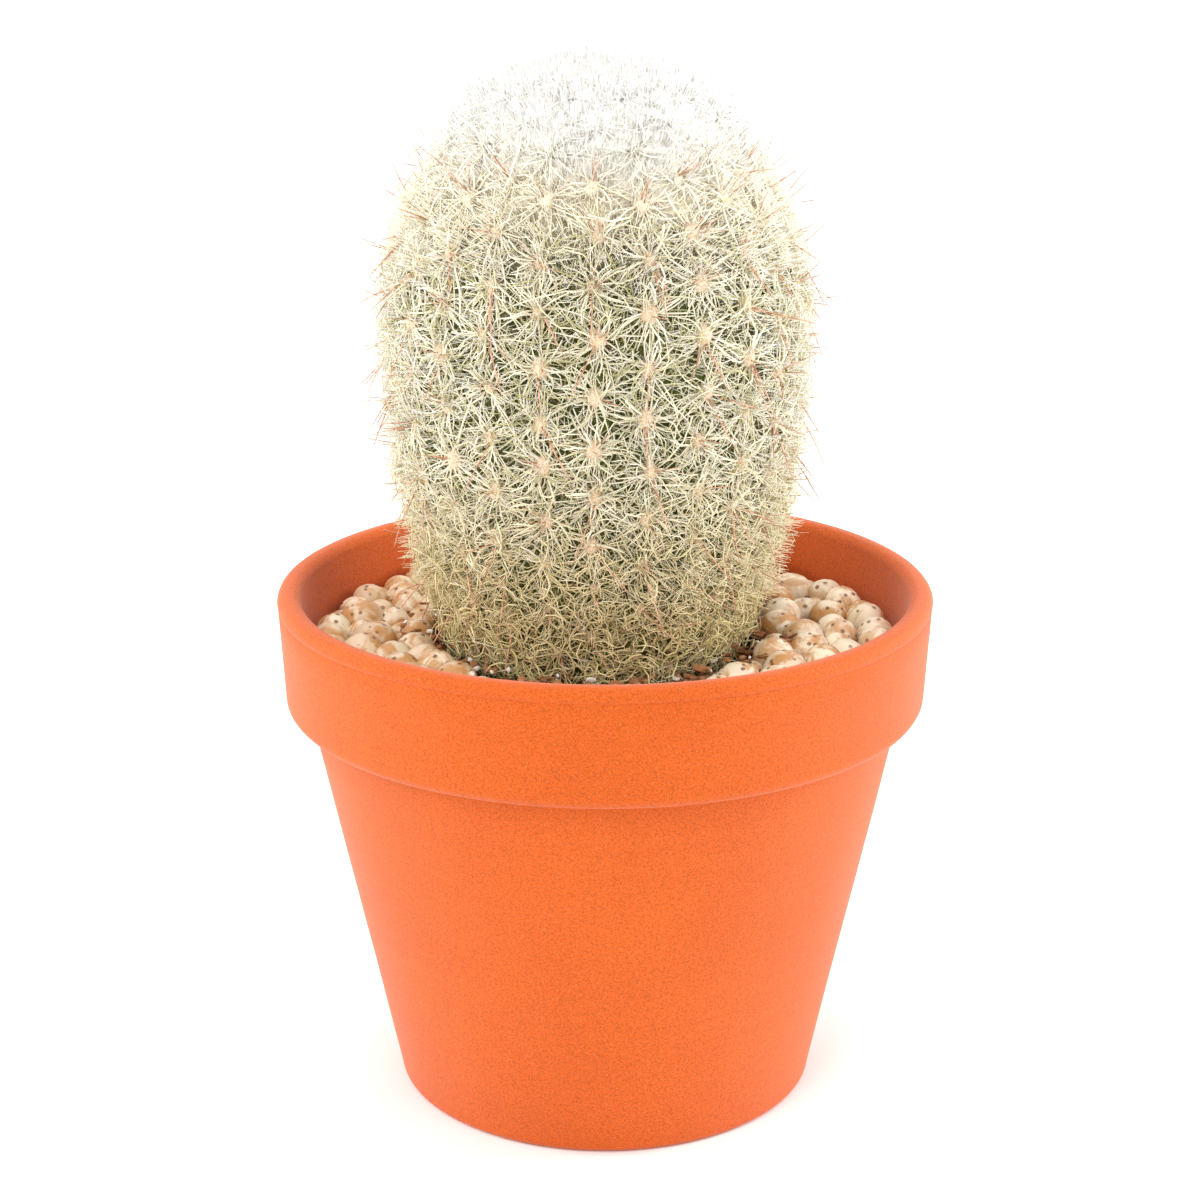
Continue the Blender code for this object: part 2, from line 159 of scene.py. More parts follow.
class Finish:
    """One procedural material, with short ways to add and link its nodes."""

    def __init__(self, name, roughness, specular, **sockets):
        self.material = bpy.data.materials.new(name)
        self.material.use_nodes = True
        self.tree = self.material.node_tree
        self.shader = self.tree.nodes["Principled BSDF"]
        self.place = self.add("ShaderNodeTexCoord").outputs["Object"]
        self.set_socket("Roughness", roughness)
        self.set_socket("Specular IOR Level", specular)
        for socket, value in sockets.items():
            self.set_socket(socket.replace("_", " "), value)

    def add(self, kind, inputs=None, **settings):
        """A node of this kind, with its settings, and its inputs linked or set by name or number."""
        node = self.tree.nodes.new(kind)
        for name, value in settings.items():
            setattr(node, name, value)
        for key, value in (inputs or {}).items():
            self.link(value, node.inputs[key])
        return node

    def link(self, value, socket):
        if isinstance(value, bpy.types.NodeSocket):
            self.tree.links.new(value, socket)
        elif socket.type == "RGBA":
            socket.default_value = (*value[:3], 1)
        else:
            socket.default_value = value

    def set_socket(self, name, value):
        self.link(value, self.shader.inputs[name])

    def coloured(self, colour):
        """Take this as the surface's colour, and hand over the finished material."""
        self.set_socket("Base Color", colour)
        return self.material

    def attribute(self, name):
        return self.add("ShaderNodeAttribute", attribute_name=name).outputs["Fac"]

    def height(self, wander_scale=0, wander=0.0):
        """Height over the ground, which may wander up and down a little from place to place."""
        z = self.add("ShaderNodeSeparateXYZ", {"Vector": self.place}).outputs["Z"]
        if not wander_scale:
            return z
        return self.maths("ADD", z, self.maths("MULTIPLY", self.noise(wander_scale, 2), wander))

    def stretched(self, x, y, z):
        inputs = {"Vector": self.place, "Scale": (x, y, z)}
        return self.add("ShaderNodeMapping", inputs).outputs["Vector"]

    def noise(self, scale, detail=3.0, roughness=0.5, vector=None, distortion=0.0):
        inputs = {
            "Vector": vector or self.place, "Scale": scale, "Detail": detail,
            "Roughness": roughness, "Distortion": distortion,
        }
        return self.add("ShaderNodeTexNoise", inputs).outputs["Fac"]

    def cells(self, scale):
        inputs = {"Vector": self.place, "Scale": scale}
        return self.add("ShaderNodeTexVoronoi", inputs, feature="F1").outputs["Distance"]

    def spread(self, value, low, high, to_low=0.0, to_high=1.0):
        """The value eased from one range to another, and held at its ends."""
        inputs = dict(enumerate((value, low, high, to_low, to_high)))
        return self.add("ShaderNodeMapRange", inputs, interpolation_type="SMOOTHSTEP").outputs["Result"]

    def maths(self, operation, first, second):
        return self.add("ShaderNodeMath", {0: first, 1: second}, operation=operation).outputs[0]

    def mix(self, share, first, second):
        inputs = {"Factor": share, 6: first, 7: second}
        return self.add("ShaderNodeMix", inputs, data_type="RGBA").outputs[2]

    def blend(self, first, second, value, *ranges):
        """Go over from the first colour to the second where the value runs from low to high."""
        return self.mix(self.spread(value, *ranges), first, second)

    def bump(self, height, strength, distance, under=None):
        inputs = {"Height": height, "Strength": strength, "Distance": distance}
        if under:
            inputs["Normal"] = under
        normal = self.add("ShaderNodeBump", inputs).outputs["Normal"]
        self.set_socket("Normal", normal)
        return normal


def darker(colour, share):
    return tuple(share * c for c in colour)


def paler(colour, share, lift):
    return tuple(min(1, share * c + lift) for c in colour)


BRIGHT_GRAIN = (0.90, 0.36, 0.15)
RED_CRUMB = (0.22, 0.085, 0.03)
DARK_BARK, BROWN_BARK, PALE_BARK = (0.09, 0.035, 0.014), (0.36, 0.15, 0.06), (0.46, 0.24, 0.11)
WHITE_CHIP, STAINED_CHIP = (0.88, 0.84, 0.76), (0.58, 0.42, 0.26)
PIT_BROWN = (0.22, 0.09, 0.03)


def clay_finish():
    """Fired clay: faint turning streaks, a pale bloom, and fine light and dark grains."""
    pot = chosen("pot")
    clay = Finish("fired_clay", 0.72, 0.12, Sheen_Weight=0.17, Sheen_Roughness=0.5)
    streaks = clay.noise(1.0, 4, 0.6, clay.stretched(14, 14, 520))
    blotches = clay.noise(34, 4, 0.55)
    bloom = clay.maths("ADD", clay.spread(streaks, 0.2, 0.8, 0.0, 0.25), clay.spread(blotches, 0.25, 0.8))
    colour = clay.mix(clay.maths("MULTIPLY", bloom, 0.8), pot.clay, pot.pale_clay)
    dark_grain = clay.noise(3400, 2, 0.6)
    colour = clay.blend(colour, darker(pot.clay, 0.62), dark_grain, 0.48, 0.60, 0.0, 0.62)
    colour = clay.blend(colour, BRIGHT_GRAIN, clay.cells(1250), 0.20, 0.05, 0.0, 0.30)
    clay.set_socket("Roughness", clay.spread(blotches, 0.2, 0.8, 0.62, 0.80))
    grain = clay.bump(clay.noise(1500, 3, 0.6), 0.35, 0.00012)
    clay.bump(streaks, 0.25, 0.00025, under=grain)
    return clay.coloured(colour)


def soil_finish():
    bed = chosen("bed")
    soil = Finish("moist_soil", 0.95, 0.2)
    crumbs = soil.noise(900, 5, 0.65)
    colour = soil.blend(darker(bed.soil, 0.45), bed.soil, crumbs, 0.35, 0.7)
    soil.bump(crumbs, 0.8, 0.0006)
    return soil.coloured(soil.blend(colour, RED_CRUMB, soil.noise(420, 3, 0.6), 0.55, 0.68))


def bark_finish():
    bark = Finish("bark_scraps", 0.9, 0.2)
    grain = bark.noise(1.0, 4, 0.6, bark.stretched(900, 900, 300))
    tone = bark.blend(DARK_BARK, BROWN_BARK, bark.noise(260, 1), 0.35, 0.65)
    bark.bump(grain, 0.6, 0.0002)
    return bark.coloured(bark.blend(tone, PALE_BARK, grain, 0.4, 0.7))


def grit_finish():
    grit = Finish("white_grit", 0.85, 0.3)
    grit.bump(grit.noise(2200, 3), 0.5, 0.0001)
    return grit.coloured(grit.blend(WHITE_CHIP, STAINED_CHIP, grit.noise(600, 3), 0.5, 0.75))


def bead_finish():
    """Cream clay with tan stains that soak in from below and small brown pits, and painted shade: the beads
    on the left are pulled further towards the tan.
    """
    bed = chosen("bed")
    bead = Finish("cream_clay", 0.42, 0.45)
    colour = bead.mix(bead.attribute("tint"), darker(bed.cream, 0.80), bed.cream)
    soaked = bead.spread(bead.noise(260, 4, 0.6, distortion=0.6), 0.43, 0.60, 0.0, 0.95)
    # The amount of the stains is raised on the beads on the left as painted shade.
    soaked = bead.maths("MULTIPLY", soaked, bead.spread(bead.attribute("stain_and_shade"), -0.3, 0.7))
    colour = bead.mix(soaked, colour, bed.stain_and_shade)
    # Painted shade: this mostly darkens the beads on the left towards the tan.
    colour = bead.blend(colour, bed.stain_and_shade, bead.attribute("stain_and_shade"), 0.7, 1.5, 0.0, 0.4)
    scattered = bead.spread(bead.noise(330, 2), 0.30, 0.48)
    pit = bead.maths("MULTIPLY", bead.spread(bead.cells(560), 0.27, 0.16), scattered)
    colour = bead.mix(bead.maths("MULTIPLY", pit, 0.9), colour, PIT_BROWN)
    under = bead.bump(bead.noise(900, 4, 0.6), 0.3, 0.00015)
    bead.bump(bead.maths("MULTIPLY", pit, -1.0), 0.7, 0.00025, under=under)
    return bead.coloured(colour)


# Heights between which one finish of the plant goes over to the next.
OLD_TO_CLEAN = 0.086, 0.132
# Painted shade: above these heights the curly wool is pulled further towards the olive painted shade.
PAINTED_SHADE_ABOVE = 0.106, 0.124
SKIN_TO_WOOL = 0.140, 0.158
FELT_TO_WOOL = 0.147, 0.160
SPINE_TO_WHITE = 0.155, 0.171
TAN_ROOTS_FADE = 0.166, 0.150
DUSTY_ROOTS_FADE = 0.084, 0.118
CREAM_TO_WHITE = 0.157, 0.175

GREEN_FLECK = (0.26, 0.29, 0.12)
CLEAN_SPINE, WHITE_SPINE = (0.96, 0.94, 0.84), (0.95, 0.94, 0.90)
CENTRAL_TIP = (0.66, 0.38, 0.26)
# Olive painted shade with a painted green reflection of the skin, which the curly wool is pulled towards.
OLIVE_PAINTED_SHADE = (0.40, 0.38, 0.10)
HAZE_WHITE = (0.86, 0.825, 0.73)


def skin_finish():
    """Green skin with paler flecks, which goes over to white felt at the crown."""
    plant = chosen("plant")
    skin = Finish("green_skin", 0.6, 0.3)
    colour = skin.blend(darker(plant.skin, 0.55), plant.skin, skin.noise(420, 4, 0.6), 0.35, 0.7)
    colour = skin.blend(colour, GREEN_FLECK, skin.cells(1500), 0.22, 0.08, 0.0, 0.6)
    skin.bump(skin.noise(1300, 3), 0.5, 0.0002)
    return skin.coloured(skin.blend(colour, plant.wool, skin.height(), *SKIN_TO_WOOL))


def felt_finish():
    plant = chosen("plant")
    felt = Finish("areole_felt", 0.95, 0.1, Sheen_Weight=0.4)
    fibres = felt.noise(3200, 3, 0.7)
    colour = felt.blend(plant.felt, paler(plant.felt, 1.28, 0.08), fibres, 0.35, 0.65)
    felt.bump(fibres, 0.9, 0.0002)
    return felt.coloured(felt.blend(colour, plant.wool, felt.height(), *FELT_TO_WOOL))


def aged(finish, clean):
    """Wool's colour by height: old and dusty near the soil, clean above."""
    return finish.blend(chosen("plant").old_wool, clean, finish.height(70, 0.016), *OLD_TO_CLEAN)


def spine_finish():
    """Pale spines, tan where they leave the felt."""
    plant = chosen("plant")
    spine = Finish("pale_spines", 0.5, 0.4)
    shaft = aged(spine, plant.wool)
    shaft = spine.mix(spine.maths("MULTIPLY", spine.attribute("tint"), 0.7), shaft, CLEAN_SPINE)
    shaft = spine.blend(shaft, WHITE_SPINE, spine.height(), *SPINE_TO_WHITE)
    root = spine.spread(spine.attribute("along"), 0.46, 0.04, 0.0, 0.90)
    root = spine.maths("MULTIPLY", root, spine.spread(spine.height(), *TAN_ROOTS_FADE))
    root = spine.maths("MULTIPLY", root, spine.spread(spine.height(), *DUSTY_ROOTS_FADE, 0.35, 1.0))
    spine.bump(spine.noise(2600, 2), 0.3, 0.00005)
    return spine.coloured(spine.mix(root, shaft, plant.felt))


def central_finish():
    """Red-brown spines with a paler tip, mottled along their length."""
    red_brown = chosen("plant").central
    central = Finish("red_brown_spines", 0.45, 0.45)
    colour = central.blend(red_brown, paler(red_brown, 1.5, 0.12), central.noise(700, 2), 0.40, 0.62)
    central.bump(central.noise(2400, 2), 0.3, 0.00005)
    return central.coloured(
        central.blend(colour, CENTRAL_TIP, central.attribute("along"), 0.55, 1.0, 0.0, 0.6)
    )


def wool_bump(wool):
    wool.bump(wool.noise(3000, 2), 0.3, 0.00004)


def wool_finish():
    """Fine wool, lighter and darker from hair to hair: each hair is pulled by its tint towards an olive
    painted shade with a painted green reflection of the skin, and all of it more so above mid-height.
    """
    wool = Finish("fine_wool", 0.7, 0.25, Sheen_Weight=0.3)
    colour = aged(wool, chosen("plant").wool)
    shade = wool.spread(wool.attribute("tint"), 0.2, 1.0, 0.0, 0.55)
    shade = wool.maths("ADD", shade, wool.spread(wool.height(), *PAINTED_SHADE_ABOVE, 0.0, 0.30))
    wool_bump(wool)
    return wool.coloured(wool.mix(shade, colour, OLIVE_PAINTED_SHADE))


def haze_finish():
    haze = Finish("white_haze", 0.75, 0.2, Sheen_Weight=0.4)
    wool_bump(haze)
    return haze.coloured(aged(haze, HAZE_WHITE))


def crown_finish(name, white, cream, sheen):
    """Wool that goes over from cream at the shoulder to white on the crown."""
    wool = Finish(name, 0.75, 0.2, Sheen_Weight=sheen)
    white = wool.blend(white, darker(white, 0.93), wool.attribute("tint"), 0.0, 1.0, 0.0, 0.12)
    wool_bump(wool)
    return wool.coloured(wool.blend(cream, white, wool.height(90, 0.012), *CREAM_TO_WHITE))


def add_piece(name, bm, finish, replaced=(), crease=50):
    """Make a mesh object of a bmesh, riding on the one body, with its round sides smooth."""
    bmesh.ops.recalc_face_normals(bm, faces=bm.faces)
    mesh = bpy.data.meshes.new(name)
    bm.to_mesh(mesh)
    bm.free()
    mesh.shade_smooth()
    mesh.set_sharp_from_angle(angle=math.radians(crease))
    return add_mesh_piece(name, mesh, finish, replaced)


def add_mesh_piece(name, mesh, finish, replaced=()):
    piece = bpy.data.objects.new(name, mesh)
    bpy.context.scene.collection.objects.link(piece)
    mesh.materials.clear()
    mesh.materials.append(finish)
    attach(piece, "root")
    if replaced:
        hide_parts(*replaced)
    return piece


def relief(point, waves):
    """Sum of smooth noises at a point, each given by its fineness and its size."""
    return sum(size * noise.noise(point * fineness) for fineness, size in waves)


def arc(centre, radius, start, end, steps):
    """Points (r, z) on part of a circle, with the angles in degrees."""
    turns = [math.radians(start + (end - start) * i / steps) for i in range(steps + 1)]
    return [(centre[0] + radius * math.cos(t), centre[1] + radius * math.sin(t)) for t in turns]


def turned(outline, closed, steps, x=0.0):
    """Spin an outline of (r, z) points round an upright axis at x, as a bmesh."""
    bm = bmesh.new()
    verts = [bm.verts.new((x + r, 0, z)) for r, z in outline]
    pairs = list(zip(verts, verts[1:]))
    if closed:
        pairs.append((verts[-1], verts[0]))
    edges = [bm.edges.new(pair) for pair in pairs]
    bmesh.ops.spin(
        bm, geom=verts + edges, cent=(x, 0, 0), axis=(0, 0, 1),
        angle=math.tau, steps=steps, use_merge=True,
    )
    bmesh.ops.remove_doubles(bm, verts=bm.verts, dist=SAME_POINT)
    return bm


SHOULDER_GAP = 0.0006
SHOULDER_ROUND = 0.0008
BODY_EASE = 0.0002
COLLAR_TAPER = 0.0010
COLLAR_ROUND = 0.0020
LIP_ROUND = 0.0017
BASE_ROUND = 0.0015
DRAIN_RADIUS = 0.0060
DRAIN_EASE = 0.0004
FLOOR_THICKNESS = 0.0065
FLOOR_ROUND = 0.0020
LEDGE_ABOVE = 0.0020
LEDGE_BELOW = 0.0040
INNER_DRAFT = 0.08
GROOVE_DROP = 0.0024
GROOVE_DEPTH = 0.00014
GROOVE_HALF = 0.00022
LONGEST_RUN = 0.0042
TRUE_FOOT = 0.0020
WALL_SWAY = ((30, 1), (110, 0.4))


def inner_wall(z):
    """Radius of the pot's inner wall at height z, in the collar and below it."""
    pot = chosen("pot")
    shoulder = pot.height - pot.collar_height
    if z >= shoulder + LEDGE_ABOVE:
        return pot.rim_radius - pot.wall - (pot.height - z) * INNER_DRAFT
    slope = (pot.body_top_radius - pot.base_radius) / shoulder
    return pot.base_radius + z * slope - pot.wall


def filled_in(outline, longest):
    """The outline with more points on its long straight runs."""
    points = []
    for start, end in zip(outline, outline[1:] + outline[:1]):
        count = max(1, math.ceil(math.dist(start, end) / longest))
        for i in range(count):
            share = i / count
            points.append(tuple(a + (b - a) * share for a, b in zip(start, end)))
    return points


class CACTUS_OT_pot(bpy.types.Operator):
    """Build the turned clay pot with its collar, soft lip and drain hole"""

    bl_idname = "cactus.make_pot"
    bl_label = "Clay Pot"

    def execute(self, context):
        pot = chosen("pot")
        shoulder = pot.height - pot.collar_height
        collar_foot = pot.rim_radius - COLLAR_TAPER
        outline = [(DRAIN_RADIUS + DRAIN_EASE, 0)]
        outline += arc((pot.base_radius - BASE_ROUND, BASE_ROUND), BASE_ROUND, -90, 0, 6)
        under = shoulder - SHOULDER_ROUND
        outline += [(pot.body_top_radius - BODY_EASE, shoulder - SHOULDER_GAP - SHOULDER_ROUND)]
        outline += arc((pot.body_top_radius + SHOULDER_ROUND, under), SHOULDER_ROUND, 180, 90, 3)
        outline += arc((collar_foot - COLLAR_ROUND, shoulder + COLLAR_ROUND), COLLAR_ROUND, -86, 0, 7)
        groove = pot.height - GROOVE_DROP
        lean = COLLAR_TAPER / pot.collar_height
        for rise, depth in ((-1, 0), (0, GROOVE_DEPTH), (1, 0)):
            z = groove + rise * GROOVE_HALF
            outline.append((pot.rim_radius - (pot.height - z) * lean - depth, z))
        lip_middle = pot.height - LIP_ROUND
        outline += arc((pot.rim_radius - LIP_ROUND, lip_middle), LIP_ROUND, 4, 90, 7)
        outline += arc((pot.rim_radius - pot.wall + LIP_ROUND, lip_middle), LIP_ROUND, 90, 176, 7)
        inside = (shoulder + LEDGE_ABOVE, shoulder - LEDGE_BELOW, FLOOR_THICKNESS + FLOOR_ROUND)
        outline += [(inner_wall(z), z) for z in inside]
        outline += [(inner_wall(FLOOR_THICKNESS) - FLOOR_ROUND, FLOOR_THICKNESS)]
        outline += [(DRAIN_RADIUS, FLOOR_THICKNESS), (DRAIN_RADIUS, DRAIN_EASE)]
        bm = turned(filled_in(outline, LONGEST_RUN), closed=True, steps=pot.steps)
        for vert in bm.verts:
            if TRUE_FOOT < vert.co.z:
                sway = abs(relief(vert.co, WALL_SWAY))
                reach = math.hypot(vert.co.x, vert.co.y)
                vert.co.x -= vert.co.x / reach * pot.unevenness * sway
                vert.co.y -= vert.co.y / reach * pot.unevenness * sway
        add_piece("clay_pot", bm, clay_finish(), replaced=("pot",), crease=60)
        return {"FINISHED"}


SOIL_CRUMBS = ((260, 0.0007), (700, 0.0004))
SOCKET_GAP = 0.0006
SOCKET_FLATNESS = 0.65
SOIL_RING = 0.0009
SOIL_EDGE = 0.0012
SOIL_BOTTOM_ROUND = 0.0024
BITS_RING = 0.0085
BITS_INSET = 0.0030
BITS_LIFT = (0.0, 0.0045)
BARK_SIZES, BARK_SHAPE = (0.0009, 0.0026), (2.0, 0.4)
GRIT_SIZES, GRIT_SHAPE = (0.0007, 0.0016), (1.3, 0.7)


def stem_shift(reach):
    """The stem stands a little off the pot's axis, and rings near it follow it."""
    bed = chosen("bed")
    wall = inner_wall(bed.soil_top)
    share = min(1, max(0, (wall - reach) / (wall - bed.bare_radius)))
    return chosen("plant").stem_x * share


def scatter_bits(count, draw, sizes, flat):
    """A bmesh of small angular chips that lie on the bare soil, each half sunk in it."""
    bed = chosen("bed")
    inner = bed.bare_radius - BITS_INSET
    bits = bmesh.new()
    for _ in range(count):
        reach = math.sqrt(draw.uniform(inner**2, (inner + BITS_RING) ** 2))
        angle = draw.uniform(0, math.tau)
        size = draw.uniform(*sizes)
        x, y = reach * math.cos(angle) + stem_shift(reach), reach * math.sin(angle)
        spot = Matrix.Translation((x, y, bed.soil_top + draw.uniform(*BITS_LIFT) + 0.25 * size))
        spot @= Matrix.Rotation(draw.uniform(0, math.tau), 4, "Z")
        spot @= Matrix.Rotation(draw.uniform(-0.5, 0.5), 4, "X")
        shape = (size * draw.uniform(1.0, flat[0]), size * draw.uniform(0.5, 0.8), size * flat[1])
        spot @= Matrix.Diagonal((*shape, 1))
        made = bmesh.ops.create_icosphere(bits, subdivisions=1, radius=0.5, matrix=spot)
        for vert in made["verts"]:
            vert.co += size * 0.12 * noise.noise_vector(vert.co * 1500)
    return bits


class CACTUS_OT_soil(bpy.types.Operator):
    """Build the soil with its crumbly top, scraps of bark and white grit"""

    bl_idname = "cactus.make_soil"
    bl_label = "Soil"

    def execute(self, context):
        bed = chosen("bed")
        top, wall = bed.soil_top, inner_wall(bed.soil_top)
        plant = chosen("plant")
        shoulder = chosen("pot").height - chosen("pot").collar_height
        low = SOIL_BOTTOM + SOIL_BOTTOM_ROUND
        outline = [(0, SOIL_BOTTOM), (inner_wall(SOIL_BOTTOM) - SOIL_BOTTOM_ROUND, SOIL_BOTTOM)]
        heights = (low, shoulder - LEDGE_BELOW, shoulder + LEDGE_ABOVE, top)
        outline += [(inner_wall(z) - 2 * TOUCH_GAP, z) for z in heights]
        reach = wall - SOIL_EDGE
        while reach > plant.stem_radius - plant.taper + SOIL_EDGE:
            outline.append((reach, top))
            reach -= SOIL_RING
        foot = plant.stem_radius - plant.taper + SOCKET_GAP
        socket = arc((0, top), foot, 0, -90, 10)[:-1]
        outline += [(r, top - (top - z) * SOCKET_FLATNESS) for r, z in socket]
        outline.append((0, top - foot * SOCKET_FLATNESS))
        bm = turned(outline, closed=False, steps=200)
        for vert in bm.verts:
            reach = math.hypot(vert.co.x, vert.co.y)
            if vert.co.z > top - foot * SOCKET_FLATNESS - SAME_HEIGHT and reach < wall - SOIL_RING:
                vert.co.x += stem_shift(reach)
                if vert.co.z > top - SAME_HEIGHT:
                    vert.co.z += relief(Vector((vert.co.x, vert.co.y, 0.0)), SOIL_CRUMBS)
        add_piece("crumbly_soil", bm, soil_finish(), replaced=("soil",))
        draw = random.Random(5)
        bark = scatter_bits(bed.bark_bits, draw, BARK_SIZES, BARK_SHAPE)
        add_piece("bark_scraps", bark, bark_finish(), crease=30)
        grit = scatter_bits(bed.grit_bits, draw, GRIT_SIZES, GRIT_SHAPE)
        add_piece("white_grit", grit, grit_finish(), crease=30)
        return {"FINISHED"}


BEAD_SIZES = (1.16, 1.04, 0.90, 0.66)
SIZE_SHARES = (0.30, 0.34, 0.22, 0.14)
DROP_HEIGHTS = (0.080, 0.086)
SETTLE_ROUNDS = 240
BEAD_GAP = 0.0002
SINK_STEP = 0.00012
TOUCH_SHARE = 0.96
PUSH_SHARE = 0.35
SEAT_SHARE = 0.75
FRONT_BARE, FRONT_POWER = 0.0100, 6
BED_HEAP = 0.0782
BACK_RISE, BACK_POWER, RISE_SHARE = 0.0016, 0.7, 1.1
EGG_LENGTH, EGG_WIDTH, EGG_HEIGHT = (1.02, 1.16), (0.94, 1.02), 0.98
BEAD_DENTS = ((320, 0.05), (800, 0.03))
# Painted shade: how much more of the tan the beads on the left take.
LEFT_PAINTED_SHADE = 0.6


def bed_rise(angle):
    """How much higher the beads lie at this angle than at the front."""
    return BACK_RISE * (0.5 + 0.5 * np.sin(angle)) ** BACK_POWER


def settled_beads():
    """Centre and radius of each bead: strewn in a ring, then pushed apart as they sink and touch."""
    bed = chosen("bed")
    draw = np.random.default_rng(4)
    count = bed.beads
    radius = bed.bead_radius * draw.choice(BEAD_SIZES, count, p=SIZE_SHARES)
    inner, outer = bed.bare_radius + BEAD_GAP, inner_wall(bed.bed_top) - 2 * TOUCH_GAP
    reach = np.sqrt(draw.uniform(inner**2, outer**2, count))
    angle = draw.uniform(0, math.tau, count)
    spots = np.stack([reach * np.cos(angle), reach * np.sin(angle), draw.uniform(*DROP_HEIGHTS, count)], 1)
    touch = TOUCH_SHARE * (radius[:, None] + radius[None])
    for _ in range(SETTLE_ROUNDS):
        spots[:, 2] -= SINK_STEP
        apart = spots[:, None] - spots[None]
        distance = np.linalg.norm(apart, axis=2) + np.eye(count)
        push = np.clip(touch - distance, 0, None) / distance * (1 - np.eye(count))
        spots += PUSH_SHARE * (apart * push[..., None]).sum(axis=1)
        angle = np.arctan2(spots[:, 1], spots[:, 0])
        bare = inner + FRONT_BARE * np.clip(-np.sin(angle), 0, 1) ** FRONT_POWER
        reach = np.clip(np.hypot(spots[:, 0], spots[:, 1]), bare + radius, outer - radius)
        high = BED_HEAP + RISE_SHARE * bed_rise(angle)
        z = np.clip(spots[:, 2], bed.soil_top + SEAT_SHARE * radius, high)
        spots = np.stack([reach * np.cos(angle), reach * np.sin(angle), z], 1)
    spots[:, 0] += np.array([stem_shift(r) for r in reach])
    return spots, radius


class CACTUS_OT_beads(bpy.types.Operator):
    """Build the top dressing of egg-shaped clay beads"""

    bl_idname = "cactus.make_beads"
    bl_label = "Clay Beads"

    def execute(self, context):
        draw = random.Random(21)
        bm = bmesh.new()
        tint = bm.verts.layers.float.new("tint")
        stain_and_shade = bm.verts.layers.float.new("stain_and_shade")
        for centre, radius in zip(*settled_beads()):
            place = Vector(centre)
            shape = Matrix.Diagonal((draw.uniform(*EGG_LENGTH), draw.uniform(*EGG_WIDTH), EGG_HEIGHT, 1))
            tip = Matrix.Rotation(draw.uniform(-0.5, 0.5), 4, "Y")
            turn = Matrix.Rotation(draw.uniform(0, math.tau), 4, "Z")
            spot = Matrix.Translation(place) @ turn @ tip @ shape
            made = bmesh.ops.create_icosphere(bm, subdivisions=3, radius=radius, matrix=spot)
            # Beads on the left get more of the tan as painted shade.
            shades = draw.random(), draw.random() + LEFT_PAINTED_SHADE * (centre[0] < 0)
            for vert in made["verts"]:
                way = (vert.co - place).normalized()
                vert.co += way * radius * relief(vert.co, BEAD_DENTS)
                vert[tint], vert[stain_and_shade] = shades
        add_piece("cream_beads", bm, bead_finish(), replaced=("beads",), crease=180)
        return {"FINISHED"}


DOME_POWER = 2.07
FOOT_DEPTH = 0.0140
SUNK_START = 0.0040
FIRST_AREOLE = 0.0795
AREOLE_STRAY = 0.00035
CROWN_RADIUS = 0.0150
CROWN_AREOLES = 12
VALLEY_POWER = 0.8
FLATTER_RIBS = 1.15
TIGHTEST_ROUND, TIGHTEST_UP = 0.012, 0.020
BEND_NUDGE = 0.0005
STEPS_PER_RIB = 6
TIP_RADIUS = 0.0020
NEAR = 0.0001
ROW_STEP = 0.0011
NOTCH_DEPTH = 0.0007
SKIN_SWELL = ((240, 0.0002),)
BURIED_SHARE = 0.4
CUSHION_SIZE, CUSHION_GROWTH = 0.00085, 0.00065
CUSHION_SHAPE = (0.85, 1.1, 0.75)
CUSHION_SUNK = 0.0002


def crest_radius(z):
    """Radius of the rib crests at height z, up to where the stem is widest."""
    plant = chosen("plant")
    fall = (plant.widest_height - z) / (plant.widest_height - chosen("bed").soil_top)
    return plant.stem_radius - plant.taper * fall**2


def dome_height(radius):
    """Height of the dome over the widest place, at this distance from its axis."""
    plant = chosen("plant")
    share = (1 - (radius / plant.stem_radius) ** DOME_POWER) ** (1 / DOME_POWER)
    return plant.widest_height + (plant.stem_top - plant.widest_height) * share


class StemCurve:
    """The stem's side as a curve: radius, height and outward way by the distance walked up it."""

    def __init__(self):
        plant = chosen("plant")
        soil_top = chosen("bed").soil_top
        low = np.linspace(soil_top - SUNK_START, plant.widest_height, 400)
        turn = np.linspace(0, 1, 800)[1:]
        reach = plant.stem_radius * np.cos(turn * math.pi / 2)
        high = np.array([dome_height(r) for r in reach])
        self.z = np.concatenate([low, high])
        self.r = np.concatenate([[crest_radius(z) for z in low], reach])
        steps = np.hypot(np.diff(self.z), np.diff(self.r))
        self.walk = np.concatenate([[0], np.cumsum(steps)])
        slope_r, slope_z = np.gradient(self.r, self.walk), np.gradient(self.z, self.walk)
        self.out = np.stack([slope_z, -slope_r]) / np.hypot(slope_r, slope_z)
        self.length = self.walk[-1]

    def walk_at(self, z):
        return np.interp(z, self.z, self.walk)

    def at(self, walk):
        """Radius, height and the two parts of the outward way at some distances up the curve."""
        rows = (self.r, self.z, self.out[0], self.out[1])
        return [np.interp(walk, self.walk, row) for row in rows]


def valley(angle):
    """How deep the skin lies at this angle: 0 on a rib's crest and 1 in the valley beside it."""
    ribs = chosen("plant").ribs
    return (0.5 - 0.5 * np.cos(ribs * angle)) ** VALLEY_POWER


def areole_spots(curve):
    """Distance up the curve and angle of each areole: staggered on the ribs, in a spiral on the crown."""
    plant = chosen("plant")
    step = plant.areole_step / 2
    spots = []
    walk, row = curve.walk_at(FIRST_AREOLE), 0
    while curve.at(walk)[0] > CROWN_RADIUS:
        spots += [(walk, math.tau * rib / plant.ribs) for rib in range(plant.ribs) if (rib + row) % 2 == 0]
        walk += step
        row += 1
    for i in range(CROWN_AREOLES):
        out = CROWN_RADIUS * math.sqrt((i + 0.5) / CROWN_AREOLES)
        spots.append((curve.walk_at(dome_height(out)), i * GOLDEN_ANGLE))
    stray = np.random.default_rng(2).normal(0, AREOLE_STRAY, (len(spots), 2))
    return np.array(spots) + stray * (1, 1 / plant.stem_radius)


